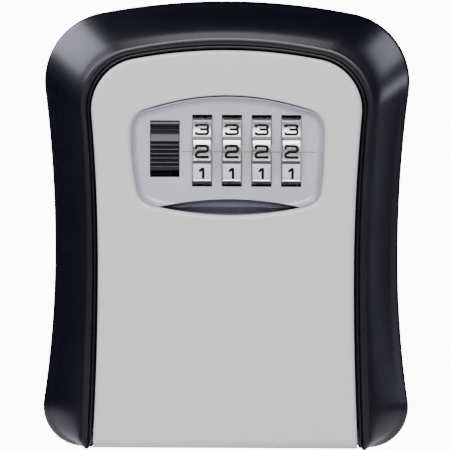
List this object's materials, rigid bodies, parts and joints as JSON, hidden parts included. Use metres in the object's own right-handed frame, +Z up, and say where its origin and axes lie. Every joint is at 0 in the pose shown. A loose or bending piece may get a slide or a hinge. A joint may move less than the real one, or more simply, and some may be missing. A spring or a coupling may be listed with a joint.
{
  "type": "key lock box",
  "caption": "Wall-mount key safe: black hollow-cast housing with a bottom-hinged silver door, number wheels in a sunk bezel, a ribbed release button and a latch.",
  "frame": {"origin": "centre of the flat wall face of the housing floor, at half the height and half the width", "axes": "+Y into the wall, -Y out of the door's front, +Z up, +X to the right as seen from the front"},
  "size_m": [0.0946, 0.0404, 0.1156],
  "materials": {
    "housing_coat": "black powder coat on die-cast aluminium alloy, satin",
    "door_paint": "light grey-silver paint on die-cast aluminium alloy, satin",
    "bezel_satin": "satin silver",
    "dark_plastic": "black moulded ABS, slight gloss",
    "cover_plastic": "black moulded ABS, fine texture",
    "wheel_chrome": "brushed chrome on zinc alloy, black ridges and digits",
    "cam_brass": "turned brass",
    "plated_steel": "zinc-plated steel"
  },
  "bodies": {
    "housing": {"housing": "housing_coat", "hinge_pin": "plated_steel", "key_hook": "plated_steel", "key_hook_screw": "plated_steel"},
    "door": {"door_panel": "door_paint", "dial_bezel": "bezel_satin", "finger_cup": "dark_plastic", "dial_shaft": "plated_steel", "shaft_clip": "plated_steel", "detent_spring": "plated_steel", "lock_cover": "cover_plastic", "latch_spring_1": "plated_steel", "latch_spring_2": "plated_steel", "reset_spring": "plated_steel", "bezel_screw_1": "plated_steel", "bezel_screw_2": "plated_steel", "cover_screw_1": "plated_steel", "cover_screw_2": "plated_steel", "cover_screw_3": "plated_steel", "cover_screw_4": "plated_steel"},
    "release": {"release_button": "dark_plastic", "latch_plate": "plated_steel", "button_screw": "plated_steel"},
    "code_lever": {"code_change_lever": "cover_plastic"},
    "wheel_1": {"number_wheel_1": "wheel_chrome"},
    "cam_1": {"cam_sleeve_1": "cam_brass"},
    "wheel_2": {"number_wheel_2": "wheel_chrome"},
    "cam_2": {"cam_sleeve_2": "cam_brass"},
    "wheel_3": {"number_wheel_3": "wheel_chrome"},
    "cam_3": {"cam_sleeve_3": "cam_brass"},
    "wheel_4": {"number_wheel_4": "wheel_chrome"},
    "cam_4": {"cam_sleeve_4": "cam_brass"}
  },
  "joints": [
    {"name": "door_hinge", "type": "hinge", "parent": "housing", "child": "door", "pos_m": [0, -0.0335, -0.05345], "axis": [1, 0, 0], "range_deg": [0, 180]},
    {"name": "release_slide", "type": "slide", "parent": "door", "child": "release", "axis": [0, 0, -1], "range_m": [0, 0.0015], "stiffness_N_per_m": 300, "springref_m": -0.004, "deforming": ["latch_spring_1", "latch_spring_2"]},
    {"name": "code_lever_slide", "type": "slide", "parent": "door", "child": "code_lever", "axis": [1, 0, 0], "range_m": [0, 0.0013], "deforming": ["reset_spring"]},
    {"name": "wheel_1_turn", "type": "hinge", "parent": "door", "child": "wheel_1", "pos_m": [0, -0.03077, 0.01875], "axis": [1, 0, 0], "continuous": true},
    {"name": "wheel_2_turn", "type": "hinge", "parent": "door", "child": "wheel_2", "pos_m": [0, -0.03077, 0.01875], "axis": [1, 0, 0], "continuous": true},
    {"name": "wheel_3_turn", "type": "hinge", "parent": "door", "child": "wheel_3", "pos_m": [0, -0.03077, 0.01875], "axis": [1, 0, 0], "continuous": true},
    {"name": "wheel_4_turn", "type": "hinge", "parent": "door", "child": "wheel_4", "pos_m": [0, -0.03077, 0.01875], "axis": [1, 0, 0], "continuous": true},
    {"name": "cam_1_shift", "type": "slide", "parent": "wheel_1", "child": "cam_1", "axis": [1, 0, 0], "range_m": [0, 0.0013]},
    {"name": "cam_2_shift", "type": "slide", "parent": "wheel_2", "child": "cam_2", "axis": [1, 0, 0], "range_m": [0, 0.0013]},
    {"name": "cam_3_shift", "type": "slide", "parent": "wheel_3", "child": "cam_3", "axis": [1, 0, 0], "range_m": [0, 0.0013]},
    {"name": "cam_4_shift", "type": "slide", "parent": "wheel_4", "child": "cam_4", "axis": [1, 0, 0], "range_m": [0, 0.0013]}
  ],
  "couplings": [
    {"joint": "cam_1_shift", "follows": "code_lever_slide", "ratio": 1},
    {"joint": "cam_2_shift", "follows": "code_lever_slide", "ratio": 1},
    {"joint": "cam_3_shift", "follows": "code_lever_slide", "ratio": 1},
    {"joint": "cam_4_shift", "follows": "code_lever_slide", "ratio": 1}
  ]
}
